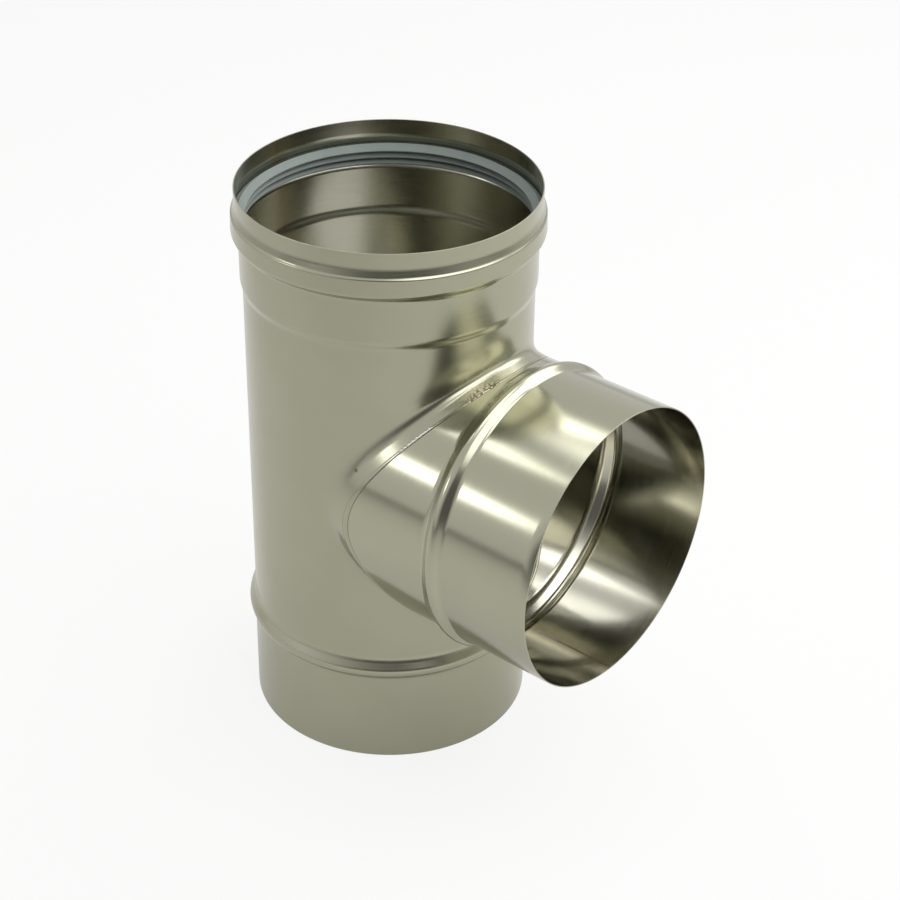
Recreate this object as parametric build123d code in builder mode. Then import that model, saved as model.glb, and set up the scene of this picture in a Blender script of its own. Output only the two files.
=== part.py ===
"""Single-wall flue pipe tee in thin steel sheet: a run with a socket on top and a spigot below, and a
branch spigot welded to a collar that is drawn out of the run's wall.

Millimetres, +Z up. The origin is the centre of the lower spigot's end, and the branch points along +X.
"""
import os
from math import radians, tan

from build123d import *

# sheet, and the body's diameter over its outside
SHEET = 0.6
BODY_DIAMETER = 150.0

# steps in radius, each from the part named first
SPIGOT_SIZING = 0.5
NECK_RELIEF = 0.2
STOP_BEAD_CORNER = 3.52
SOCKET_CLEARANCE = 0.2
SEAL_BEAD_FOOT_RISE = 3.4
SEAL_BEAD_TOP_RISE = 3.7
COLLAR_RISE = 1.55

# lengths along the run and the branch
STOP_BEAD_CREST = 58.0
LOWER_LAND = 14.5
UPPER_LAND = 16.5
SOCKET_STEP = 5.5
SOCKET_DEPTH = 49.0
NECK_LENGTH = 10.2
COLLAR_LENGTH = 10.0
SHOULDER_LENGTH = 3.5
SEAL_BEAD_LENGTH = 9.0
UNDERSIDE_LENGTH = 3.5

# bends, as radii on the middle of the sheet
STEP_BEND = 14.0
UNDERSIDE_BEND = 2.0
SEAL_BEAD_BEND = 1.4
COLLAR_BEND = 9.0

# stop bead: a steep face towards the spigot, which a socket's rim meets, and a long soft back
STOP_BEAD_FACE = radians(50.0)
STOP_BEAD_BACK = radians(32.0)
STOP_BEAD_FACE_BEND = 2.0
STOP_BEAD_CREST_BEND = 2.0
STOP_BEAD_BACK_BEND = 8.0

# drawn collar, from the body's outside to the middle of the weld, and the weld on its edge
DRAWN_REACH = 8.0
WELD_WIDTH = 1.6
WELD_CROWN = 0.3
WELD_ROOT = 0.1

# lip seal: its wall in the seal bead, and three lips that a spigot bends down
SEAL_CLEARANCE = 0.1
SEAL_WALL = 2.1
SEAL_CREST = 0.7
SEAL_SLOPE = radians(35.0)
LIP_BITES = (3.0, 2.1, 1.2)
LIP_PITCH = 3.9
LIP_SLOPE = radians(44.0)
LIP_THICKNESS = 1.1
LIP_LAND = 0.8

# radii over the outside of the sheet
body_radius = BODY_DIAMETER / 2
spigot_radius = body_radius + SPIGOT_SIZING
neck_radius = body_radius - NECK_RELIEF

# seam between the drawn collar and the branch: both edges lie on cylinders about the run's axis
seam_radius = body_radius + DRAWN_REACH
collar_edge = seam_radius - WELD_WIDTH / 2
branch_edge = seam_radius + WELD_WIDTH / 2
drawn_bend = collar_edge - body_radius

# the branch lies between two straight lands of the body, and reaches past the seam by its neck and spigot
branch_height = STOP_BEAD_CREST + LOWER_LAND + drawn_bend + neck_radius
body_top = branch_height + neck_radius + drawn_bend + UPPER_LAND
sleeve_foot = body_top + SOCKET_STEP
total_height = sleeve_foot + SOCKET_DEPTH
branch_reach = branch_edge + NECK_LENGTH + STOP_BEAD_CREST

# radii on the inside of the socket
sleeve_inside = spigot_radius + SOCKET_CLEARANCE
bead_foot_inside = sleeve_inside + SEAL_BEAD_FOOT_RISE
bead_top_inside = sleeve_inside + SEAL_BEAD_TOP_RISE
collar_inside = sleeve_inside + COLLAR_RISE

# heights of the socket's bends, down from the rim
collar_foot = total_height - COLLAR_LENGTH
bead_top = collar_foot - SHOULDER_LENGTH
bead_foot = bead_top - SEAL_BEAD_LENGTH
sleeve_top = bead_foot - UNDERSIDE_LENGTH

# planes of the branch: along its axis, and across it at the run's axis
branch_side = Plane(origin=(0, 0, branch_height), x_dir=(1, 0, 0), z_dir=(0, -1, 0))
branch_across = Plane(origin=(0, 0, branch_height), x_dir=(0, 1, 0), z_dir=(1, 0, 0))
branch_axis = Axis((0, 0, branch_height), (1, 0, 0))

# bends of a stop bead in turn, from the spigot to the tube beyond
stop_bead_bends = [STOP_BEAD_FACE_BEND, STOP_BEAD_CREST_BEND, STOP_BEAD_BACK_BEND]


def stop_bead(spigot, beyond):
    """Corners of a spigot and its rolled stop bead as (radius, distance from the end), mid-sheet."""
    crest = spigot + STOP_BEAD_CORNER
    return [
        (spigot, 0),
        (spigot, STOP_BEAD_CREST - STOP_BEAD_CORNER / tan(STOP_BEAD_FACE)),
        (crest, STOP_BEAD_CREST),
        (beyond, STOP_BEAD_CREST + (crest - beyond) / tan(STOP_BEAD_BACK)),
    ]


def socket(body):
    """Corners of the socket from the body's top to the rim as (radius, height), mid-sheet."""
    return [
        (body, body_top),
        (sleeve_inside + SHEET / 2, sleeve_foot),
        (sleeve_inside + SHEET / 2, sleeve_top),
        (bead_foot_inside + SHEET / 2, bead_foot),
        (bead_top_inside + SHEET / 2, bead_top),
        (collar_inside + SHEET / 2, collar_foot),
        (collar_inside + SHEET / 2, total_height),
    ]


def filled_tee(side):
    """The run and a branch stub without their hollow, out to the sheet's outside or only to its inside.

    side is 1 for the outside and -1 for the inside. The bend of the drawn collar lies in the corner
    between run and branch, so its radius is smaller on the outside of the sheet.
    """
    body = body_radius - SHEET / 2
    corners = stop_bead(spigot_radius - SHEET / 2, body) + socket(body)
    bends = stop_bead_bends + [STEP_BEND] * 2
    bends += [UNDERSIDE_BEND, SEAL_BEAD_BEND, SEAL_BEAD_BEND, COLLAR_BEND]
    with BuildPart() as form:
        with BuildSketch(Plane.XZ):
            with BuildLine():
                wall = FilletPolyline(*corners, radius=bends)
                Polyline(wall @ 1, (0, total_height), (0, 0), wall @ 0)
            make_face()
            trace(wall, line_width=SHEET, mode=Mode.ADD if side > 0 else Mode.SUBTRACT)
        revolve(axis=Axis.Z)
        with BuildSketch(branch_across):
            Circle(neck_radius - SHEET / 2 + side * SHEET / 2)
        extrude(amount=branch_edge + SHEET)
        flat_or_round = (GeomType.LINE, GeomType.CIRCLE)
        crossing = form.edges().filter_by(lambda edge: edge.geom_type not in flat_or_round)
        fillet(crossing, radius=drawn_bend + SHEET / 2 - side * SHEET / 2)
    return form.part


# run tube: one sheet, with the branch's collar drawn out of its wall and trimmed to the seam
with BuildPart() as main_tube:
    add(filled_tee(1))
    add(filled_tee(-1), mode=Mode.SUBTRACT)
    with BuildSketch(Plane.XY):
        Circle(collar_edge)
    extrude(amount=total_height, mode=Mode.INTERSECT)

# branch tube: neck, stop bead and spigot, with the neck's end cut to the saddle of the seam
with BuildPart() as branch_tube:
    neck = neck_radius - SHEET / 2
    corners = [(branch_reach - along, radius) for radius, along in stop_bead(spigot_radius - SHEET / 2, neck)]
    with BuildSketch(branch_side):
        with BuildLine():
            wall = FilletPolyline(*corners, (0, neck), radius=stop_bead_bends)
        trace(wall, line_width=SHEET)
    revolve(axis=branch_axis)
    with BuildSketch(Plane.XY):
        Circle(branch_edge)
    extrude(amount=total_height, mode=Mode.SUBTRACT)

# saddle weld: the narrow band between the two edges, a little proud of the sheet outside and inside
with BuildPart() as saddle_weld:
    with BuildSketch(branch_across):
        Circle(neck_radius + WELD_CROWN)
        Circle(neck_radius - SHEET - WELD_ROOT, mode=Mode.SUBTRACT)
    extrude(amount=branch_edge + SHEET)
    with BuildSketch(Plane.XY):
        Circle(branch_edge)
    extrude(amount=total_height, mode=Mode.INTERSECT)
    with BuildSketch(Plane.XY):
        Circle(collar_edge)
    extrude(amount=total_height, mode=Mode.SUBTRACT)

# lip seal: its wall stands in the seal bead, and each lip rises to a crest and leans down inward
with BuildPart() as lip_seal:
    outside = bead_foot_inside - SEAL_CLEARANCE
    inside = outside - SEAL_WALL
    crest_radius = sleeve_inside
    first_edge = bead_top + SEAL_CREST - (crest_radius - spigot_radius + LIP_BITES[0]) * tan(LIP_SLOPE)
    lip_roots = []
    with BuildSketch(Plane.XZ):
        for place, bite in enumerate(LIP_BITES):
            edge_radius = spigot_radius - bite
            edge = first_edge - place * LIP_PITCH
            crest = edge + (crest_radius - edge_radius) * tan(LIP_SLOPE)
            root = crest - (inside - crest_radius) * tan(SEAL_SLOPE)
            lip_roots.append(root)
            with BuildLine():
                Polyline(
                    (edge_radius, edge),
                    (crest_radius, crest),
                    (inside, root),
                    (inside, root - LIP_THICKNESS),
                    (crest_radius, crest - LIP_THICKNESS),
                    (edge_radius, edge - LIP_LAND),
                    close=True,
                )
            make_face()
        wall_top = lip_roots[0]
        wall_foot = lip_roots[-1] - LIP_THICKNESS
        underside_slope = UNDERSIDE_LENGTH / SEAL_BEAD_FOOT_RISE
        with BuildLine():
            Polyline(
                (inside, wall_foot),
                (outside, wall_foot + SEAL_WALL * underside_slope),
                (outside, wall_top - SEAL_WALL * tan(SEAL_SLOPE)),
                (inside, wall_top),
                close=True,
            )
        make_face()
    revolve(axis=Axis.Z)

os.makedirs("parts", exist_ok=True)
main_tube.part.label = "main_tube"
branch_tube.part.label = "branch_tube"
saddle_weld.part.label = "saddle_weld"
lip_seal.part.label = "lip_seal"
export_step(main_tube.part, "parts/main_tube.step")
export_step(branch_tube.part, "parts/branch_tube.step")
export_step(saddle_weld.part, "parts/saddle_weld.step")
export_step(lip_seal.part, "parts/lip_seal.step")
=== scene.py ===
"""Looks of a single-wall flue tee in stainless sheet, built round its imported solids.

Metres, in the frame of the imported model: the run stands on z = 0 along +Z, and the branch points along +X.
Sizes are named in millimetres, as the sheet worker reads them.
"""
import math

import bpy
import numpy as np
from mathutils import Matrix, Vector


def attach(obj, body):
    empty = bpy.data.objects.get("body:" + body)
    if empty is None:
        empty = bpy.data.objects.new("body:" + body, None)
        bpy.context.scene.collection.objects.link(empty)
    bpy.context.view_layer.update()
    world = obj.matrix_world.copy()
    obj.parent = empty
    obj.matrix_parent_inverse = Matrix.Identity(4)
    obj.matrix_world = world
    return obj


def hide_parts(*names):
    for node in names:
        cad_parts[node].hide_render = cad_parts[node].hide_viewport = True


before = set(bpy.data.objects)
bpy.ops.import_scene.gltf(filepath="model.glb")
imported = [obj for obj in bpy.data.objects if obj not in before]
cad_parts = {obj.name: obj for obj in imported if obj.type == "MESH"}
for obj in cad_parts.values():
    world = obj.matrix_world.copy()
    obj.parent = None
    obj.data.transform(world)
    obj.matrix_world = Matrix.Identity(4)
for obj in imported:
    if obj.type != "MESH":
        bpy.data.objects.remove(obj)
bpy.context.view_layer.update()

MM = 0.001

# sheet, and radii over its outside
SHEET = 0.6
BODY = 75.0
SPIGOT = 75.5
NECK = 74.8

# radii inside the socket
SLEEVE_INSIDE = 75.7
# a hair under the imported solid's widest 79.4, so that this rounder bead stays inside its facets
BEAD_FOOT_INSIDE = 79.36
BEAD_TOP_INSIDE = 79.16
SHOULDER_INSIDE = 78.3
COLLAR_INSIDE = 77.25

# heights along the run, and reach of the branch from the run's axis
BRANCH_HEIGHT = 154.5
BODY_TOP = 254.0
SLEEVE_FOOT = 257.5
SLEEVE_TOP = 281.5
BEAD_FOOT = 285.0
BEAD_TOP = 294.0
SHOULDER_TOP = 295.1
COLLAR_FOOT = 299.0
TOTAL_HEIGHT = 307.5
BRANCH_REACH = 152.0

# stop bead: its crest from the spigot's end, the rise of its corner before it is bent, and its slopes
STOP_BEAD_CREST = 58.0
STOP_BEAD_CORNER = 3.78
STOP_BEAD_FACE = math.radians(38)
STOP_BEAD_BACK = math.radians(32)

# bends, on the middle of the sheet
STOP_BEAD_BENDS = [4.0, 4.0, 8.0]
STEP_BENDS = [8.0, 8.0]
SEAL_BEAD_BENDS = [3.5, 1.8, 1.0, 2.8]
COLLAR_BEND = 9.0

# drawn collar: how much wider than the neck it is over the branch, and narrower at the sides and below
COLLAR_FLARE = 1.5
COLLAR_NIP = 3.5
# angles round the branch, from its top, between which the one goes over into the other
FLARE_ENDS = math.radians(20)
NIP_STARTS = math.radians(112)
# reach of the collar's bend from its corner with the body, and how much farther it reaches at the sides
COLLAR_CORNER = 3.6
CORNER_SOFTENING = 3.0
# most that the bend takes of the room between seam and corner, and how much more of it at the sides
BEND_ROOM = 0.45
SIDE_ROOM = 0.15

# cylinders about the run's axis that trim the two edges
COLLAR_EDGE = 82.2
BRANCH_EDGE = 83.8

# patch of the wall that the collar is drawn from: half its angle about the run, and half its height
PATCH_ANGLE = math.radians(100)
PATCH_HEIGHT = 87.0
# slack in angle, so that the columns on its two ends count as in it
PATCH_SLACK = 0.001

# fineness of the meshes
COLUMNS = 288
SEAM_COLUMNS = 17
WELD_COLUMNS = 1440
BEND_STEP = math.radians(7)
SEAL_BEND_STEP = math.radians(25)
EDGE_STEPS = 4
PATCH_ROWS = 60
COLLAR_STEPS = 8
CORNER_STEPS = 14
WALL_STEPS = 9
NECK_STEPS = 12
DENT_STEPS = 9
CROWN_STEPS = 12

# cut edges, broken by a file
BROKEN_EDGE = 0.12

# dent in the branch's rim: where it lies round the branch, its half width, its depth and its length
DENT_AT = math.radians(-70)
DENT_SPREAD = math.radians(13)
DENT_DEPTH = 1.6
DENT_LENGTH = 5.0

# lengthways seam welds: the run's on the side away from the branch, and the branch's on its underside
RUN_SEAM = math.pi
BRANCH_SEAM = math.pi
# their width, their dip outside and rise inside, and how far their tint spreads
SEAM_WIDTH = 1.5
SEAM_DIP = 0.05
SEAM_RISE = 0.09
SEAM_TINT = 6.0

# saddle weld: its crown over the sheet, and its root under it
WELD_CROWN = 0.16
WELD_ROOT = 0.1
ROOT_SHARES = (0.0, 0.25, 0.5, 0.75, 1.0)

# open groove left along the branch's edge: its shape, the spread of its near-black colour, and where its
# rows lie
GROOVE_DEPTH = 0.32
GROOVE_WIDTH = 0.55
GROOVE_FULLNESS = 0.8
GROOVE_BLACK_FULLNESS = 0.6
GROOVE_SHARES = (1, 0.85, 0.7, 0.55, 0.4, 0.25, 0.12, 0.03, 0)

# drops of filler along the weld: their sizes, and where they lie round the branch, from its top
DROP_SPACING = 2.6
DROP_RISE = 0.8
DROP_SIZES = (0.2, 1.0)
DROPS_AT = math.radians(-44)
DROPS_SPREAD = math.radians(8)
# how round each drop is, how far it bows along the weld, and how soon its painted near-white glint is full
DROP_FULLNESS = 0.7
DROP_BOW = 0.35
DROP_GLINT_GAIN = 1.6

# patch that the torch burnt near the top of the weld: where it lies round the branch, and how rough it is
BURNT_AT = math.radians(-16)
BURNT_SPREAD = math.radians(8)
BURNT_RISE = 0.16
BURNT_HEIGHTS = (-0.4, 1.0)
BURNT_ROWS = 6
# how far from the seam it marks the collar, and how far out from the neck it still counts as collar
BURNT_REACH = 3.0
BURNT_CLEARANCE = 6.0

# pit that a stray spark left on the run beside the collar: its middle, and radii of its edge and floor
SPARK_PIT = (37.2, -67.6, 185.1)
PIT_EDGE = 1.5
PIT_FLOOR = 0.5

# lip seal: radii of its wall, and each lip's free edge as (radius, height)
SEAL_OUTSIDE = 79.0
SEAL_INSIDE = 76.9
SEAL_LIPS = ((72.5, 291.608), (73.4, 287.708), (74.3, 283.808))
LIP_THICKNESS = 1.1
LIP_LAND = 0.8
SEAL_CORNER = 0.18
# rise of its faces for each millimetre outward: over the wall, over the lips, and under the wall
SEAL_SLOPE = math.tan(math.radians(35))
LIP_SLOPE = math.tan(math.radians(44))
SEAL_FOOT_SLOPE = 3.5 / 3.4

# patterns of the finishes, by the sizes of what they show
# rolling lines are some 0.02 mm apart and would only glitter, so they are drawn farther apart
GRAIN_SPACING = 0.4
GRAIN_LENGTH = 16.67
CLOUD_SIZE = 35.7
SPECK_SIZE = 1.111
BLOOM_SIZE = 11.11
MOTTLE_SIZE = 333.0

# how much a sheet's roughness varies, and the bounds that nearly all values of a noise lie within
ROUGHNESS_SPREAD = 0.03
NOISE_LOW = 0.3
NOISE_HIGH = 0.7

# floor, just clear of the cut edge, and the stretch ahead of the tee over which reflections lose its white
FLOOR_LEVEL = -0.2
FLOOR_HALF = 7000.0
FLOOR_FADE = 700.0

# how far the floor is lifted towards plain white in view, and in reflections
FLOOR_SEEN = 0.85
FLOOR_MIRRORED = 0.4

# surround: its strength as light, in reflections and in view
WORLD_LIGHT = 0.25
WORLD_MIRRORED = 0.85
WORLD_SEEN = 1.0

# dark opening on the camera's side: its strength in reflections, its middle and its half angles
OPENING_DARK = 0.16
OPENING_HEADING = math.radians(-42)
OPENING_HEIGHT = math.radians(12)
OPENING_HALF_WIDTH = math.radians(46)
OPENING_HALF_HEIGHT = math.radians(21)
# how fast it closes on the far side, and where its soft edge ends and starts, in its half angles
OPENING_BACK = 9.0
OPENING_EDGE = 1.5
OPENING_CORE = 0.5

# lamps: their distance, and the point that they face
LAMP_DISTANCE = 1600.0
LAMP_AIM = (60.0, 0.0, 170.0)
# each lamp's name, heading, height, width and tallness in degrees, radiance, and share of soft edge
LAMPS = (
    ("window light", -125, 24, 17, 12, 5.0, 0.4),
    ("ceiling light", 160, 56, 44, 10, 4.5, 0.4),
    ("far ceiling light", -152, 54, 16, 9, 3.0, 0.25),
    ("right ceiling light", 4, 49, 75, 48, 2.1, 0.25),
    ("far side light", 80, 42, 60, 40, 2.4, 0.25),
    ("overhead light", 130, 86, 50, 50, 2.2, 0.25),
)

# the photograph's camera: its angles, and its place from the point where the two axes cross
CAMERA_HEADING = math.radians(-50.226)
CAMERA_HEIGHT = math.radians(32.446)
CAMERA_ROLL = math.radians(0.745)
CAMERA_BACK = 1170.238
CAMERA_RIGHT = 32.211
CAMERA_DOWN = 3.988
# its focal length in the photograph's pixels, and the widths of the photograph and of the sensor
FOCAL_PIXELS = 2179.669
PHOTO_WIDTH = 900
SENSOR_WIDTH = 36.0

# a mix node names its inputs alike for every kind of value, so they are told apart by number
SHARE = 0
LOW_COLOUR = 6
HIGH_COLOUR = 7
MIXED_COLOUR = 2
LOW_VALUE = 2
HIGH_VALUE = 3

QUARTER_TURN = math.pi / 2
UPWARD = np.array((0, 1))
DOWNWARD = np.array((0, -1))


# bending and turning sheet

def unit(way):
    """A direction brought to a length of 1."""
    return way / np.linalg.norm(way)


def smooth(share):
    """A share that starts and ends softly, held between 0 and 1."""
    share = np.clip(share, 0, 1)
    return share ** 2 * (3 - 2 * share)


def within_turn(angles):
    """Angles brought to within half a turn of zero."""
    return (angles + math.pi) % (2 * math.pi) - math.pi


def in_patch(angles, middle, spread):
    """How far angles lie in a patch, from 1 at its middle to 0 well past its spread."""
    return np.exp(-((angles - middle) / spread) ** 4)


def bent(corners, bends, closed=False, step=BEND_STEP):
    """A line of straight runs with bent corners, as rows of (radius, along, outward normal)."""
    corners = [np.array(corner, float) for corner in corners]
    last = len(corners) - 1
    rows = []
    for place, corner in enumerate(corners):
        way_in = unit(corner - corners[place - 1])
        way_out = unit(corners[(place + 1) % len(corners)] - corner)
        if not closed and place in (0, last):
            way = way_out if place == 0 else way_in
            rows.append((*corner, way[1], -way[0]))
            continue
        bend = bends[place if closed else place - 1]
        turn = math.atan2(way_in[0] * way_out[1] - way_in[1] * way_out[0], way_in @ way_out)
        side = -1 if turn > 0 else 1
        start = corner - way_in * bend * math.tan(abs(turn) / 2)
        facing = np.array((way_in[1], -way_in[0]))
        centre = start + side * facing * bend
        first = math.atan2(facing[1], facing[0])
        for angle in np.linspace(first, first + turn, max(3, int(abs(turn) / step) + 2)):
            normal = np.array((math.cos(angle), math.sin(angle)))
            rows.append((*(centre - side * normal * bend), *normal))
    return np.array(rows)


def straight(radius, start, end, steps):
    """Rows of a straight stretch of tube."""
    return np.array([(radius, along, 1, 0) for along in np.linspace(start, end, steps)])


def face_of(middle, side):
    """Rows of one face of a sheet from the rows of its middle: side is 1 outside and -1 inside."""
    rows = middle.copy()
    rows[:, :2] += side * middle[:, 2:] * SHEET / 2
    rows[:, 2:] *= side
    return rows


def cut_edge(row, way):
    """Rows over a cut edge with broken corners, from outside to inside, where way points off the edge."""
    middle, normal = row[:2], row[2:]
    rows = []
    for side in (1, -1):
        corner = middle + side * normal * (SHEET / 2 - BROKEN_EDGE) - way * BROKEN_EDGE
        for angle in np.linspace(0, QUARTER_TURN, EDGE_STEPS)[::side]:
            facing = side * normal * math.cos(angle) + way * math.sin(angle)
            rows.append((*(corner + facing * BROKEN_EDGE), *facing))
    return np.array(rows)


def stop_bead(spigot, beyond):
    """Corners of a spigot with its rolled stop bead, as (radius, distance from its end), mid-sheet."""
    crest = spigot + STOP_BEAD_CORNER
    return [
        (spigot, 0),
        (spigot, STOP_BEAD_CREST - STOP_BEAD_CORNER / math.tan(STOP_BEAD_FACE)),
        (crest, STOP_BEAD_CREST),
        (beyond, STOP_BEAD_CREST + (crest - beyond) / math.tan(STOP_BEAD_BACK)),
    ]


def across_seam(angles, seam):
    """Distances from a lengthways seam weld round the tube, in millimetres."""
    return within_turn(angles - seam) * BODY


def near_seam(angles, seam):
    """How near points lie to a lengthways seam weld, from 0 to 1 on it."""
    return np.exp(-(across_seam(angles, seam) / SEAM_TINT) ** 2)


def seam_shape(offset):
    """Height, from 0 to 1, and its slope over a lengthways seam weld at an offset across it."""
    over = np.abs(offset) < SEAM_WIDTH / 2
    wave = 2 * math.pi * offset / SEAM_WIDTH
    height = np.where(over, (1 + np.cos(wave)) / 2, 0)
    slope = np.where(over, -np.sin(wave) * math.pi / SEAM_WIDTH, 0)
    return height, slope


def columns_round(seam):
    """Angles round a tube, with closer ones over its lengthways seam weld."""
    close = seam + np.linspace(-SEAM_WIDTH, SEAM_WIDTH, SEAM_COLUMNS) / 2 / BODY
    even = np.arange(COLUMNS) * 2 * math.pi / COLUMNS - math.pi
    even = even[np.abs(within_turn(even - seam)) > SEAM_WIDTH / BODY]
    return np.sort(np.concatenate((even, within_turn(close))))


def spun(rows, angles, seam=None):
    """Points and normals of rows spun about an upright axis through the columns' angles.

    A lengthways seam weld is rolled flat with a slight dip outside, and stands a little proud inside.
    """
    radius, along, out, up = (rows[:, k, None] for k in range(4))
    cos, sin = np.cos(angles), np.sin(angles)
    height = slope = np.zeros(len(angles))
    if seam is not None:
        height, slope = seam_shape(across_seam(angles, seam))
    lift = np.where(out > 0, -SEAM_DIP * out, SEAM_RISE * out)
    radius = radius + lift * height
    tilt = lift * slope * np.sign(out)
    points = np.stack((radius * cos, radius * sin, along + 0 * cos), -1)
    normals = np.stack((out * cos + tilt * sin, out * sin - tilt * cos, up + 0 * cos), -1)
    return points.reshape(-1, 3), normals.reshape(-1, 3)


def saddle(cylinder, radius, angles):
    """Points where a tube about the branch's axis meets a cylinder about the run's.

    They are measured from the point where the two axes cross, and their angles from the branch's top.
    """
    across = radius * np.sin(angles)
    return np.stack((np.sqrt(cylinder ** 2 - across ** 2), across, radius * np.cos(angles)), -1)


# meshes

def grid_faces(rows, columns, first=0, round_rows=False):
    """Four-cornered faces of a grid of points that is stored row by row and closes round its columns."""
    down = np.arange(rows if round_rows else rows - 1)
    row, column = np.meshgrid(down, np.arange(columns), indexing="ij")
    next_row, next_column = (row + 1) % rows, (column + 1) % columns
    corners = (row * columns + column, row * columns + next_column,
               next_row * columns + next_column, next_row * columns + column)
    return first + np.stack(corners, -1)


def ring_faces(one, other):
    """Four-cornered faces between two closed rings of as many points."""
    return np.stack((one, np.roll(one, -1), np.roll(other, -1), other), -1)


def make_piece(name, points, normals, faces, replaces, materials, inner=0, marks=()):
    """A smooth piece from points in millimetres. Faces are turned to look along their corners' normals.

    inner is 1 for the faces that take the second material, and marks are named values at the points.
    """
    used = np.unique(faces)
    place = np.zeros(len(points), int)
    place[used] = np.arange(len(used))
    points, normals, faces = points[used], normals[used], place[faces]
    a, b, c, d = (points[faces[:, k]] for k in range(4))
    away = (np.cross(c - a, d - b) * normals[faces].sum(1)).sum(1)
    faces[away < 0] = faces[away < 0][:, ::-1]
    mesh = bpy.data.meshes.new(name)
    mesh.from_pydata((points * MM).tolist(), [], faces.tolist())
    mesh.shade_smooth()
    mesh.normals_split_custom_set_from_vertices(normals.tolist())
    for material in materials:
        mesh.materials.append(material)
    mesh.polygons.foreach_set("material_index", np.broadcast_to(inner, len(faces)).astype(np.int32))
    for mark, values in dict(marks).items():
        stored = mesh.attributes.new(mark, "FLOAT", "POINT")
        stored.data.foreach_set("value", values[used].astype(np.float32))
    piece = bpy.data.objects.new(name, mesh)
    bpy.context.scene.collection.objects.link(piece)
    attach(piece, "root")
    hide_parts(replaces)


# run: one sheet from the lower spigot to the rim, with the branch's collar drawn from its wall

def run_middle():
    """Rows of the run mid-sheet from foot to rim, and how many of them lie below and above the patch."""
    body = BODY - SHEET / 2
    socket = [
        (body, BODY_TOP),
        (SLEEVE_INSIDE + SHEET / 2, SLEEVE_FOOT),
        (SLEEVE_INSIDE + SHEET / 2, SLEEVE_TOP),
        (BEAD_FOOT_INSIDE + SHEET / 2, BEAD_FOOT),
        (BEAD_TOP_INSIDE + SHEET / 2, BEAD_TOP),
        (SHOULDER_INSIDE + SHEET / 2, SHOULDER_TOP),
        (COLLAR_INSIDE + SHEET / 2, COLLAR_FOOT),
        (COLLAR_INSIDE + SHEET / 2, TOTAL_HEIGHT),
    ]
    bends = STOP_BEAD_BENDS + STEP_BENDS + SEAL_BEAD_BENDS + [COLLAR_BEND]
    middle = bent(stop_bead(SPIGOT - SHEET / 2, body) + socket, bends)
    patch_foot, patch_top = BRANCH_HEIGHT - PATCH_HEIGHT, BRANCH_HEIGHT + PATCH_HEIGHT
    below = middle[middle[:, 1] < patch_foot]
    above = middle[middle[:, 1] > patch_top]
    patch = straight(body, patch_foot, patch_top, PATCH_ROWS + 1)
    return np.concatenate((below, patch, above)), len(below), len(above)


def patch_border(rows, left, right, columns):
    """Numbers of the points round the patch, in turn, from its left end on the first of its rows."""
    across = np.arange(left, right + 1)
    return np.concatenate((
        rows[0] * columns + across[:-1],
        rows[:-1] * columns + right,
        rows[-1] * columns + across[:0:-1],
        rows[:0:-1] * columns + left,
    ))


def on_wall(radius, angles, heights):
    """Points on an upright round wall."""
    return np.stack((radius * np.cos(angles), radius * np.sin(angles), heights), -1)


def drawn_collar(angles, heights, side):
    """Points and normals of the collar on one face, row by row from the seam's edge to its border.

    angles and heights place the border in the wall, about the run and from the branch's axis. The collar
    leans a little from the seam, then bends into the wall round the corner where the two would meet.
    """
    body, neck = (radius if side > 0 else radius - SHEET for radius in (BODY, NECK))
    round_branch = np.arctan2(angles / PATCH_ANGLE, heights / PATCH_HEIGHT)
    sin, cos = np.sin(round_branch), np.cos(round_branch)
    nipped = smooth((np.abs(round_branch) - FLARE_ENDS) / (NIP_STARTS - FLARE_ENDS))
    edge = saddle(COLLAR_EDGE, neck, round_branch)
    corner = saddle(body, neck + COLLAR_FLARE - (COLLAR_FLARE + COLLAR_NIP) * nipped, round_branch)

    room = np.linalg.norm(edge - corner, axis=1)[:, None]
    sideways = sin[:, None] ** 2
    bend = COLLAR_CORNER + CORNER_SOFTENING * sideways + (0 if side > 0 else SHEET / 2)
    bend = np.minimum(bend, (BEND_ROOM + SIDE_ROOM * sideways) * room)
    start = corner + (edge - corner) / room * bend
    off_wall = corner * (1, 1, 0) / body
    over_wall = np.stack((0 * angles, sin, cos), -1)
    over_wall -= (over_wall * off_wall).sum(1)[:, None] * off_wall
    over_wall *= bend / np.linalg.norm(over_wall, axis=1)[:, None]
    corner_angles = np.arctan2(corner[:, 1], corner[:, 0])
    sweep = over_wall[:, 1] * np.cos(corner_angles) - over_wall[:, 0] * np.sin(corner_angles)
    foot_angles = corner_angles + sweep / body
    foot_heights = corner[:, 2] + over_wall[:, 2]
    foot = on_wall(body, foot_angles, foot_heights)

    rows = [edge + share * (start - edge) for share in np.linspace(0, 1, COLLAR_STEPS)[:-1]]
    for share in np.linspace(0, 1, CORNER_STEPS):
        rows.append((1 - share) ** 2 * start + 2 * share * (1 - share) * corner + share ** 2 * foot)
    wall_first = len(rows)
    for share in np.linspace(0, 1, WALL_STEPS)[1:-1]:
        row_angles = foot_angles + share * (angles - foot_angles)
        rows.append(on_wall(body, row_angles, foot_heights + share * (heights - foot_heights)))
    points = np.array(rows)
    facings = np.cross(np.gradient(points, axis=0), np.roll(points, -1, 1) - np.roll(points, 1, 1))
    facings /= np.linalg.norm(facings, axis=-1, keepdims=True)
    facings *= side * np.sign((facings[-1] * off_wall).sum(1).mean())
    facings[wall_first:] = side * points[wall_first:] * (1, 1, 0) / body
    return points + (0, 0, BRANCH_HEIGHT), facings


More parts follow.
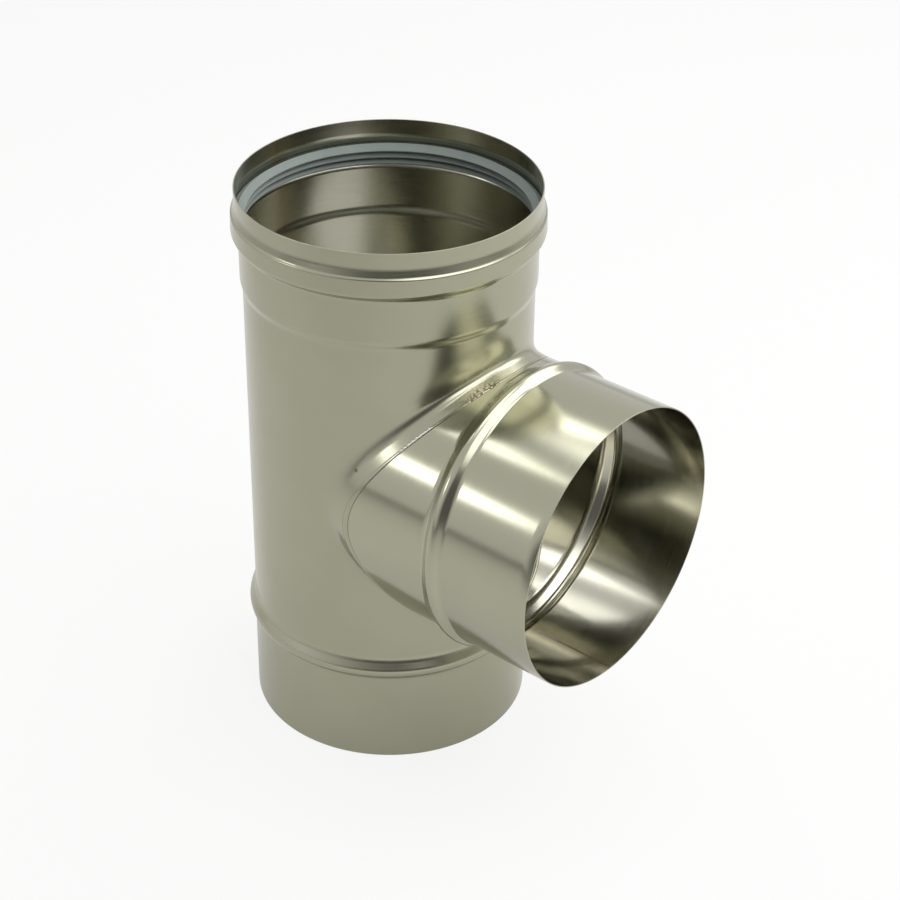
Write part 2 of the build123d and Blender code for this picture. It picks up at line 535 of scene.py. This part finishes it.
def burn_mark(points):
    """How much the torch has marked the collar at given points, from 0 to 1 beside the weld's patch."""
    up = points[:, 2] - BRANCH_HEIGHT
    from_edge = COLLAR_EDGE - np.hypot(points[:, 0], points[:, 1])
    on_collar = (points[:, 0] > 0) & (np.hypot(points[:, 1], up) < NECK + BURNT_CLEARANCE)
    burnt = in_patch(np.arctan2(points[:, 1], up), BURNT_AT, BURNT_SPREAD)
    return burnt * np.exp(-(from_edge / BURNT_REACH) ** 2) * on_collar


def make_run(materials):
    """The run as one closed sheet: both faces, the two cut edges, and the collar let into each face."""
    middle, below, above = run_middle()
    outside = face_of(middle, 1)[1:-1]
    rim = cut_edge(middle[-1], UPWARD)
    inside = face_of(middle, -1)[-2:0:-1]
    foot = cut_edge(middle[0], DOWNWARD)[::-1]
    rows = np.concatenate((outside, rim, inside, foot))
    angles = columns_round(RUN_SEAM)
    columns = len(angles)
    points, normals = spun(rows, angles, RUN_SEAM)

    # the patch's lowest row on each face: the rows over it follow it outside, and come before it inside
    lowest_outside = below - 1
    lowest_inside = len(outside) + len(rim) + above - 1 + PATCH_ROWS
    left, right = np.flatnonzero(np.abs(angles) < PATCH_ANGLE + PATCH_SLACK)[[0, -1]]
    keep = np.ones((len(rows), columns), bool)
    keep[lowest_outside:lowest_outside + PATCH_ROWS, left:right] = False
    keep[lowest_inside - PATCH_ROWS:lowest_inside, left:right] = False
    first_inner = len(outside) + len(rim) - 1
    inner = np.zeros(keep.shape, int)
    inner[first_inner:first_inner + len(inside) + 1] = 1
    faces, inner = [grid_faces(len(rows), columns, round_rows=True)[keep]], [inner[keep]]

    seam_edges = []
    for side, lowest in ((1, lowest_outside), (-1, lowest_inside)):
        border = patch_border(lowest + side * np.arange(PATCH_ROWS + 1), left, right, columns)
        x, y, z = points[border].T
        collar, facing = drawn_collar(np.arctan2(y, x), z - BRANCH_HEIGHT, side)
        first, steps, count = len(points), *collar.shape[:2]
        points = np.concatenate((points, collar.reshape(-1, 3)))
        normals = np.concatenate((normals, facing.reshape(-1, 3)))
        last_ring = first + (steps - 1) * count + np.arange(count)
        faces.append(grid_faces(steps, count, first).reshape(-1, 4))
        faces.append(ring_faces(last_ring, border))
        inner.append(np.full(steps * count, side < 0))
        seam_edges.append(first + np.arange(count))
    faces.append(ring_faces(*seam_edges))
    inner.append(np.zeros(len(faces[-1])))
    marks = {
        "seam tint": near_seam(np.arctan2(points[:, 1], points[:, 0]), RUN_SEAM),
        "burn": burn_mark(points),
    }
    make_piece("run_sheet", points, normals, np.concatenate(faces), "main_tube", materials,
               np.concatenate(inner), marks)


# branch: its neck is cut to a saddle, then come the stop bead and the spigot

def lying(points):
    """Turns points or directions made about an upright axis to lie along the branch."""
    return points[:, ::-1]


def dented(points, normals):
    """Pushes the spigot's rim in over a short stretch, for points and normals about an upright axis."""
    radius = np.hypot(points[:, 0], points[:, 1])
    angles = np.arctan2(points[:, 1], points[:, 0])
    far = np.clip((points[:, 2] - BRANCH_REACH + DENT_LENGTH) / DENT_LENGTH, 0, 1)
    off = (angles - DENT_AT) / DENT_SPREAD
    dip = DENT_DEPTH * np.exp(-off ** 2)
    out = points * (1, 1, 0) / radius[:, None]
    across = np.stack((-np.sin(angles), np.cos(angles), 0 * angles), -1)
    lean = 2 * dip * far / DENT_LENGTH
    swing = -2 * off / DENT_SPREAD * dip * far ** 2 / radius
    side = np.sum(normals * out, axis=1)[:, None]
    normals = normals + side * (np.outer(lean, (0, 0, 1)) + swing[:, None] * across)
    points = points - out * (dip * far ** 2)[:, None]
    return points, normals / np.linalg.norm(normals, axis=1)[:, None]


def branch_middle():
    """Rows of the branch mid-sheet from its neck's edge to its rim, and where the stop bead starts."""
    neck, spigot = NECK - SHEET / 2, SPIGOT - SHEET / 2
    corners = [(radius, BRANCH_REACH - along) for radius, along in stop_bead(spigot, neck)[::-1]]
    bead = bent([(neck, BRANCH_EDGE)] + corners, STOP_BEAD_BENDS[::-1])[1:-1]
    bead_foot = bead[0, 1]
    neck_rows = straight(neck, BRANCH_EDGE, bead_foot, NECK_STEPS)[:-1]
    end_rows = straight(spigot, BRANCH_REACH - DENT_LENGTH, BRANCH_REACH, DENT_STEPS)
    return np.concatenate((neck_rows, bead, end_rows)), bead_foot


def make_branch(materials):
    """The branch as one closed sheet."""
    middle, bead_foot = branch_middle()
    outside = face_of(middle, 1)[:-1]
    rim = cut_edge(middle[-1], UPWARD)
    rows = np.concatenate((outside, rim, face_of(middle, -1)[-2::-1]))
    angles = columns_round(BRANCH_SEAM)
    points, normals = spun(rows, angles, BRANCH_SEAM)
    radius = np.repeat(rows[:, 0], len(angles))
    round_branch = np.tile(angles, len(rows))

    # the neck's rows are spread between the saddle's edge and the bead's foot
    share = np.clip((points[:, 2] - BRANCH_EDGE) / (bead_foot - BRANCH_EDGE), 0, 1)
    edge = saddle(BRANCH_EDGE, radius, round_branch)[:, 0]
    points[:, 2] = np.where(share < 1, edge + share * (bead_foot - edge), points[:, 2])
    points, normals = dented(points, normals)
    faces = grid_faces(len(rows), len(angles), round_rows=True)
    inner = np.zeros(faces.shape[:2], int)
    inner[len(outside) + len(rim) - 1:-1] = 1
    make_piece("branch_sheet", lying(points) + (0, 0, BRANCH_HEIGHT), lying(normals), faces.reshape(-1, 4),
               "branch_tube", materials, inner.ravel(),
               {"seam tint": near_seam(round_branch, BRANCH_SEAM)})


# saddle weld: a fused band with drops of filler, a burnt patch and an open groove along the branch's edge

def weld_rows(angles, width, along, length):
    """Rows of the weld, each as its gap from the branch's edge, height over the sheet and three marks.

    The crown's rows come first, from the collar's edge to the branch's, and the root's go back inside. The
    marks are those of the groove, the burnt patch and the drops' painted glint, a near-white colour that
    stands in for their highlights.
    """
    drops = round(length / DROP_SPACING)
    chance = np.random.default_rng(5)
    size = chance.uniform(*DROP_SIZES, drops)
    rough = chance.uniform(*BURNT_HEIGHTS, (WELD_COLUMNS, BURNT_ROWS))
    dropped = in_patch(angles, DROPS_AT, DROPS_SPREAD)
    burnt = in_patch(angles, BURNT_AT, BURNT_SPREAD)
    groove_edge = GROOVE_WIDTH / width
    crown_shares = np.linspace(1, 0, CROWN_STEPS)[:-1, None] * (1 - groove_edge) + groove_edge
    groove_gaps = np.outer(GROOVE_SHARES, np.full(len(angles), GROOVE_WIDTH))
    rows = []
    for place, gap in enumerate(np.concatenate((crown_shares * width, groove_gaps))):
        off_middle = 1 - 2 * np.clip(gap / width, 0, 1)
        belly = 1 - off_middle ** 2
        groove = np.clip(1 - gap / GROOVE_WIDTH, 0, 1)
        passed = (along / length * drops + DROP_BOW * off_middle ** 2) % drops
        round_off = np.sin(math.pi * (passed % 1)) ** DROP_FULLNESS * belly ** DROP_FULLNESS
        drop = size[passed.astype(int) % drops] * round_off
        height = WELD_CROWN * belly * (1 - groove) + DROP_RISE * dropped * drop
        height += BURNT_RISE * burnt * rough[:, place % BURNT_ROWS] * belly
        height -= GROOVE_DEPTH * np.sin(QUARTER_TURN * groove) ** GROOVE_FULLNESS
        # painted highlight: the drops are coloured near white for the glints that they catch
        painted_glint = np.clip(DROP_GLINT_GAIN * dropped * drop * (1 - groove), 0, 1)
        rows.append((gap, height, groove ** GROOVE_BLACK_FULLNESS, burnt, painted_glint))
    plain = np.zeros(len(angles))
    for share in ROOT_SHARES:
        height = -SHEET - WELD_ROOT * 4 * share * (1 - share)
        rows.append((share * width, height + plain, plain, burnt, plain))
    return np.array(rows)


def make_weld(materials):
    """The weld as one closed ring between the two edges."""
    angles = np.linspace(-math.pi, math.pi, WELD_COLUMNS, endpoint=False)
    path = saddle(COLLAR_EDGE, NECK, angles)
    branch_edge = saddle(BRANCH_EDGE, NECK, angles)[:, 0]
    steps = np.linalg.norm(np.roll(path, -1, 0) - path, axis=1)
    along = np.cumsum(steps) - steps
    rows = weld_rows(angles, branch_edge - path[:, 0], along, steps.sum())
    gaps, heights, groove, burn, drop = rows.transpose(1, 0, 2)
    radius = NECK + heights
    points = np.stack((branch_edge - gaps, radius * np.sin(angles), radius * np.cos(angles)), -1)
    down = np.roll(points, -1, 0) - np.roll(points, 1, 0)
    round_branch = np.roll(points, -1, 1) - np.roll(points, 1, 1)
    normals = np.cross(round_branch, down)
    normals /= np.linalg.norm(normals, axis=-1, keepdims=True)
    faces = grid_faces(len(rows), WELD_COLUMNS, round_rows=True).reshape(-1, 4)
    points = points.reshape(-1, 3) + (0, 0, BRANCH_HEIGHT)
    # the mark named drop holds the drops' painted highlight
    make_piece("saddle_seam_weld", points, normals.reshape(-1, 3), faces, "saddle_weld", materials,
               marks={"groove": groove.ravel(), "burn": burn.ravel(), "drop": drop.ravel()})


# lip seal: a wall that stands in the seal bead, and three lips that lean down and inward

def make_seal(materials):
    """The seal as one closed ring, with its moulded corners rounded."""
    corners = []
    for edge_radius, edge in SEAL_LIPS:
        crest = edge + (SLEEVE_INSIDE - edge_radius) * LIP_SLOPE
        root = crest - (SEAL_INSIDE - SLEEVE_INSIDE) * SEAL_SLOPE
        corners += [
            (SEAL_INSIDE, root),
            (SLEEVE_INSIDE, crest),
            (edge_radius, edge),
            (edge_radius, edge - LIP_LAND),
            (SLEEVE_INSIDE, crest - LIP_THICKNESS),
            (SEAL_INSIDE, root - LIP_THICKNESS),
        ]
    wall = SEAL_OUTSIDE - SEAL_INSIDE
    foot, top = corners[-1][1], corners[0][1]
    corners += [(SEAL_OUTSIDE, foot + wall * SEAL_FOOT_SLOPE), (SEAL_OUTSIDE, top - wall * SEAL_SLOPE)]
    rows = bent(corners, [SEAL_CORNER] * len(corners), closed=True, step=SEAL_BEND_STEP)
    points, normals = spun(rows, np.linspace(-math.pi, math.pi, COLUMNS, endpoint=False))
    faces = grid_faces(len(rows), COLUMNS, round_rows=True).reshape(-1, 4)
    make_piece("seal_ring", points, normals, faces, "lip_seal", materials)


# materials

def srgb(code):
    """A colour written as an sRGB hex value, as linear light."""
    parts = [int(code[k:k + 2], 16) / 255 for k in (1, 3, 5)]
    return (*(c / 12.92 if c <= 0.04045 else ((c + 0.055) / 1.055) ** 2.4 for c in parts), 1.0)


def scale_for(size):
    """The scale of a pattern that shows things of a given size in millimetres."""
    return 1 / (size * MM)


def add(tree, kind, parts=()):
    """Adds a node. A part's key is an input's name or number, or one of the node's own settings.

    A part that is another node's output is linked, and any other is set.
    """
    node = tree.nodes.new(kind)
    for key, part in dict(parts).items():
        if isinstance(part, bpy.types.NodeSocket):
            tree.links.new(part, node.inputs[key])
        elif isinstance(key, int) or key in node.inputs:
            node.inputs[key].default_value = part
        else:
            setattr(node, key, part)
    return node


def new_material(name):
    """A material whose tree holds no more than the piece's own coordinates."""
    material = bpy.data.materials.new(name)
    material.use_nodes = True
    tree = material.node_tree
    tree.nodes.clear()
    return material, tree, add(tree, "ShaderNodeTexCoord").outputs["Object"]


def layered(tree, ground, layers):
    """A ground colour under layers, each as the share from 0 to 1 that covers it and its colour.

    A share is another node's output, or the name of a mark at the piece's points.
    """
    for share, colour in layers:
        if isinstance(share, str):
            share = add(tree, "ShaderNodeAttribute", {"attribute_name": share}).outputs["Fac"]
        mix = add(tree, "ShaderNodeMix",
                  {"data_type": "RGBA", SHARE: share, LOW_COLOUR: ground, HIGH_COLOUR: colour})
        ground = mix.outputs[MIXED_COLOUR]
    return ground


def burnt_brown(tree, specks, start, full, pale, dark):
    """Scale that the torch left, as dark specks on pale metal.

    A speck starts at one value of the noise, and is fully dark at the other.
    """
    speckled = add(tree, "ShaderNodeMapRange", {"Value": specks, "From Min": start, "From Max": full})
    return layered(tree, srgb(pale), [(speckled.outputs[0], srgb(dark))])


def spark_pit(tree, place):
    """A soft round mask over the small pit that a stray spark left beside the collar."""
    middle = tuple(part * MM for part in SPARK_PIT)
    off = add(tree, "ShaderNodeVectorMath", {"operation": "DISTANCE", 0: place, 1: middle})
    pit = add(tree, "ShaderNodeMapRange", {
        "interpolation_type": "SMOOTHSTEP",
        "Value": off.outputs["Value"],
        "From Min": PIT_EDGE * MM,
        "From Max": PIT_FLOOR * MM,
    })
    return pit.outputs[0]


def steel_sheet(name, pale, dark, tint, rough, grain_rise, axis, scar=False):
    """Stainless steel 1.4301 sheet, rolled. The grain runs round the tube's axis, 0 for X and 2 for Z.

    Fine rolling grain, and faint clouds where the mill's film differs, keep the sheet from looking like a
    plain mirror, and a straw tint lies along its seam weld.
    """
    material, tree, place = new_material(name)
    stretch = [scale_for(GRAIN_LENGTH)] * 3
    stretch[axis] = scale_for(GRAIN_SPACING)
    lines = add(tree, "ShaderNodeMapping", {"vector_type": "POINT", "Vector": place, "Scale": stretch})
    grain = add(tree, "ShaderNodeTexNoise",
                {"Vector": lines.outputs[0], "Scale": 1.0, "Detail": 3.0, "Roughness": 0.6})
    cloud = add(tree, "ShaderNodeTexNoise",
                {"Vector": place, "Scale": scale_for(CLOUD_SIZE), "Detail": 3.0, "Roughness": 0.55})
    specks = add(tree, "ShaderNodeTexNoise",
                 {"Vector": place, "Scale": scale_for(SPECK_SIZE), "Detail": 4.0})
    layers = [
        (cloud.outputs["Fac"], srgb(pale)),
        ("seam tint", srgb(tint)),
        ("burn", burnt_brown(tree, specks.outputs["Fac"], 0.45, 0.6, "#B9B29A", "#4A3E2B")),
    ]
    if scar:
        layers.append((spark_pit(tree, place), srgb("#77735C")))
    uneven = add(tree, "ShaderNodeMapRange", {
        "Value": grain.outputs["Fac"],
        "From Min": NOISE_LOW,
        "From Max": NOISE_HIGH,
        "To Min": rough - ROUGHNESS_SPREAD,
        "To Max": rough + ROUGHNESS_SPREAD,
    })
    bump = add(tree, "ShaderNodeBump",
               {"Strength": 1.0, "Distance": grain_rise * MM, "Height": grain.outputs["Fac"]})
    metal = add(tree, "ShaderNodeBsdfPrincipled", {
        "Metallic": 1.0,
        "Base Color": layered(tree, srgb(dark), layers),
        "Roughness": uneven.outputs[0],
        "Normal": bump.outputs[0],
    })
    add(tree, "ShaderNodeOutputMaterial", {"Surface": metal.outputs["BSDF"]})
    return material


def weld_metal():
    """Weld fused without much filler: as bright as the sheet, but rippled.

    Its drops are coloured near white as a painted highlight, its groove is coloured near black, and it is
    brown where the torch burnt it.
    """
    material, tree, place = new_material("as welded stainless")
    noise = add(tree, "ShaderNodeTexNoise",
                {"Vector": place, "Scale": scale_for(SPECK_SIZE), "Detail": 4.0})
    specks = noise.outputs["Fac"]
    colour = layered(tree, srgb("#A09F8B"), [
        (specks, srgb("#B0AF9B")),
        # painted highlight: near-white colour on the drops in place of their glints
        ("drop", srgb("#FBFAF0")),
        ("burn", burnt_brown(tree, specks, 0.42, 0.6, "#C4BEA6", "#3A3020")),
        # the groove is coloured near black
        ("groove", srgb("#15140F")),
    ])
    bump = add(tree, "ShaderNodeBump", {"Strength": 0.5, "Distance": 0.03 * MM, "Height": specks})
    metal = add(tree, "ShaderNodeBsdfPrincipled",
                {"Metallic": 1.0, "Roughness": 0.2, "Base Color": colour, "Normal": bump.outputs[0]})
    add(tree, "ShaderNodeOutputMaterial", {"Surface": metal.outputs["BSDF"]})
    return material


def grey_silicone():
    """Moulded silicone rubber: matt grey, with the faint bloom and dust that it draws."""
    material, tree, place = new_material("moulded grey silicone")
    noise = add(tree, "ShaderNodeTexNoise",
                {"Vector": place, "Scale": scale_for(BLOOM_SIZE), "Detail": 4.0})
    bloom = noise.outputs["Fac"]
    colour = layered(tree, srgb("#747E7A"), [(bloom, srgb("#868F8B"))])
    bump = add(tree, "ShaderNodeBump", {"Strength": 0.3, "Distance": 0.05 * MM, "Height": bloom})
    rubber = add(tree, "ShaderNodeBsdfPrincipled",
                 {"Roughness": 0.5, "Sheen Weight": 0.1, "Base Color": colour, "Normal": bump.outputs[0]})
    add(tree, "ShaderNodeOutputMaterial", {"Surface": rubber.outputs["BSDF"]})
    return material


# stage, lamps and camera

def way_to(heading, height=0.0):
    """The direction at a heading, from +X towards +Y, and a height above the level."""
    level = math.cos(height)
    return Vector((math.cos(heading) * level, math.sin(heading) * level, math.sin(height)))


def by_ray(tree, light, mirrored, seen):
    """A value that differs for plain light, for mirror and glass rays, and for what the camera sees."""
    path = add(tree, "ShaderNodeLightPath")
    shiny = add(tree, "ShaderNodeMath", {
        "operation": "MAXIMUM",
        0: path.outputs["Is Glossy Ray"],
        1: path.outputs["Is Transmission Ray"],
    })
    unseen = add(tree, "ShaderNodeMix",
                 {"data_type": "FLOAT", SHARE: shiny.outputs[0], LOW_VALUE: light, HIGH_VALUE: mirrored})
    either = add(tree, "ShaderNodeMix", {
        "data_type": "FLOAT",
        SHARE: path.outputs["Is Camera Ray"],
        LOW_VALUE: unseen.outputs[0],
        HIGH_VALUE: seen,
    })
    return either.outputs[0]


def make_floor():
    """A plain pale floor, wide enough to fill the view, whose white stays out of reflections ahead."""
    material, tree, place = new_material("pale floor paint")
    mottle = add(tree, "ShaderNodeTexNoise",
                 {"Vector": place, "Scale": scale_for(MOTTLE_SIZE), "Detail": 2.0})
    colour = layered(tree, srgb("#EFEFEC"), [(mottle.outputs["Fac"], srgb("#F4F4F2"))])
    paint = add(tree, "ShaderNodeBsdfPrincipled",
                {"Base Color": colour, "Roughness": 0.9, "Specular IOR Level": 0.1})
    white = add(tree, "ShaderNodeEmission", {"Color": srgb("#FFFFFF"), "Strength": 1.0})
    ahead = add(tree, "ShaderNodeVectorMath",
                {"operation": "DOT_PRODUCT", 0: place, 1: way_to(OPENING_HEADING)})
    fade = add(tree, "ShaderNodeMapRange", {
        "interpolation_type": "SMOOTHSTEP",
        "Value": ahead.outputs["Value"],
        "From Min": 0.0,
        "From Max": FLOOR_FADE * MM,
        "To Min": FLOOR_MIRRORED,
        "To Max": 0.0,
    })
    share = by_ray(tree, 0.0, fade.outputs[0], FLOOR_SEEN)
    both = add(tree, "ShaderNodeMixShader", {0: share, 1: paint.outputs["BSDF"], 2: white.outputs[0]})
    add(tree, "ShaderNodeOutputMaterial", {"Surface": both.outputs[0]})

    reach = FLOOR_HALF * MM
    corners = [(x * reach, y * reach, FLOOR_LEVEL * MM) for x, y in ((-1, -1), (1, -1), (1, 1), (-1, 1))]
    mesh = bpy.data.meshes.new("floor")
    mesh.from_pydata(corners, [], [(0, 1, 2, 3)])
    mesh.materials.append(material)
    floor = bpy.data.objects.new("floor", mesh)
    bpy.context.scene.collection.objects.link(floor)


def opening(tree):
    """A soft mask over the dark open side of the studio, from 0 outside to 1 within."""
    direction = add(tree, "ShaderNodeTexCoord").outputs["Generated"]
    ways = {
        "X": way_to(OPENING_HEADING + QUARTER_TURN) / math.sin(OPENING_HALF_WIDTH),
        "Y": way_to(OPENING_HEADING, OPENING_HEIGHT + QUARTER_TURN) / math.sin(OPENING_HALF_HEIGHT),
        "Z": way_to(OPENING_HEADING, OPENING_HEIGHT) * OPENING_BACK,
    }
    parts = {}
    for axis, way in ways.items():
        part = add(tree, "ShaderNodeVectorMath", {"operation": "DOT_PRODUCT", 0: direction, 1: way})
        parts[axis] = part.outputs["Value"]
    parts["Z"] = add(tree, "ShaderNodeMath", {"operation": "MINIMUM", 0: parts["Z"], 1: 0.0}).outputs[0]
    away = add(tree, "ShaderNodeCombineXYZ", parts)
    length = add(tree, "ShaderNodeVectorMath", {"operation": "LENGTH", 0: away.outputs[0]})
    mask = add(tree, "ShaderNodeMapRange", {
        "interpolation_type": "SMOOTHSTEP",
        "Value": length.outputs["Value"],
        "From Min": OPENING_EDGE,
        "From Max": OPENING_CORE,
    })
    return mask.outputs[0]


def pale_world():
    """An even pale surround, white in view, with the dark opening in what mirrors show."""
    world = bpy.data.worlds.new("pale surround")
    bpy.context.scene.world = world
    world.use_nodes = True
    tree = world.node_tree
    tree.nodes.clear()
    strength = add(tree, "ShaderNodeMix", {
        "data_type": "FLOAT",
        SHARE: opening(tree),
        LOW_VALUE: by_ray(tree, WORLD_LIGHT, WORLD_MIRRORED, WORLD_SEEN),
        HIGH_VALUE: by_ray(tree, WORLD_LIGHT, OPENING_DARK, WORLD_SEEN),
    })
    light = add(tree, "ShaderNodeBackground", {"Color": srgb("#FFFFFF"), "Strength": strength.outputs[0]})
    add(tree, "ShaderNodeOutputWorld", {"Surface": light.outputs[0]})


def softbox(name, heading, height, width, tall, radiance, edge):
    """A flat lamp that faces the tee, with edges that fade over a share of its sides.

    heading and height are the angles to it in degrees, and so are its width and how tall it looks.
    """
    distance = LAMP_DISTANCE * MM
    wide, high = (2 * distance * math.tan(math.radians(angle) / 2) for angle in (width, tall))
    lamp = bpy.data.lights.new(name, "AREA")
    lamp.shape = "RECTANGLE"
    lamp.size, lamp.size_y = wide, high
    lamp.energy = radiance * math.pi * wide * high
    lamp.use_nodes = True
    tree = lamp.node_tree
    tree.nodes.clear()
    place = add(tree, "ShaderNodeNewGeometry").outputs["Parametric"]
    parts = add(tree, "ShaderNodeSeparateXYZ", {0: place})
    fades = []
    for side in ("X", "Y"):
        offset = add(tree, "ShaderNodeMath", {"operation": "SUBTRACT", 0: parts.outputs[side], 1: 0.5})
        from_middle = add(tree, "ShaderNodeMath", {"operation": "ABSOLUTE", 0: offset.outputs[0]})
        fade = add(tree, "ShaderNodeMapRange", {
            "interpolation_type": "SMOOTHSTEP",
            "Value": from_middle.outputs[0],
            "From Min": 0.5,
            "From Max": 0.5 - edge,
        })
        fades.append(fade.outputs[0])
    strength = add(tree, "ShaderNodeMath", {"operation": "MULTIPLY", 0: fades[0], 1: fades[1]})
    glow = add(tree, "ShaderNodeEmission", {"Color": srgb("#FFFFFF"), "Strength": strength.outputs[0]})
    add(tree, "ShaderNodeOutputLight", {"Surface": glow.outputs[0]})
    holder = bpy.data.objects.new(name, lamp)
    bpy.context.scene.collection.objects.link(holder)
    way = way_to(math.radians(heading), math.radians(height))
    holder.location = Vector(LAMP_AIM) * MM + way * distance
    holder.rotation_euler = way.to_track_quat("Z", "Y").to_euler()


def make_camera():
    """The camera that took the photograph, at its fitted place and with its fitted lens."""
    back = way_to(CAMERA_HEADING, CAMERA_HEIGHT)
    right = way_to(CAMERA_HEADING + QUARTER_TURN)
    up = back.cross(right)
    place = back * CAMERA_BACK + right * CAMERA_RIGHT - up * CAMERA_DOWN + Vector((0, 0, BRANCH_HEIGHT))
    cos, sin = math.cos(CAMERA_ROLL), math.sin(CAMERA_ROLL)
    turned = Matrix((cos * right + sin * up, cos * up - sin * right, back)).transposed()
    lens = bpy.data.cameras.new("camera")
    lens.sensor_width = SENSOR_WIDTH
    lens.lens = SENSOR_WIDTH * FOCAL_PIXELS / PHOTO_WIDTH
    camera = bpy.data.objects.new("camera", lens)
    bpy.context.scene.collection.objects.link(camera)
    camera.matrix_world = Matrix.Translation(place * MM) @ turned.to_4x4()
    bpy.context.scene.camera = camera


make_run([
    steel_sheet("satin stainless sheet", "#ABAA97", "#A3A28E", "#ABA48A",
                rough=0.21, grain_rise=0.003, axis=2, scar=True),
    # painted light: the inside copy of the sheet is painted paler than the outside, to lift the shade inside
    # the tube
    steel_sheet("satin stainless sheet, inside, painted paler", "#B0AFA0", "#A8A797", "#A79E88",
                rough=0.24, grain_rise=0.0006, axis=2),
])
make_branch([
    steel_sheet("bright annealed stainless sheet", "#AFAE9B", "#A9A894", "#ACA892",
                rough=0.16, grain_rise=0.002, axis=0),
    # painted light: the inside copy of the sheet is painted paler than the outside, to lift the shade inside
    # the branch
    steel_sheet("bright annealed stainless sheet, inside, painted paler", "#BAB8AA", "#B3B1A2", "#B3AD9A",
                rough=0.15, grain_rise=0.0003, axis=0),
])
make_weld([weld_metal()])
make_seal([grey_silicone()])

make_floor()
pale_world()
for lamp in LAMPS:
    softbox(*lamp)
make_camera()
bpy.context.scene.view_settings.view_transform = "Standard"
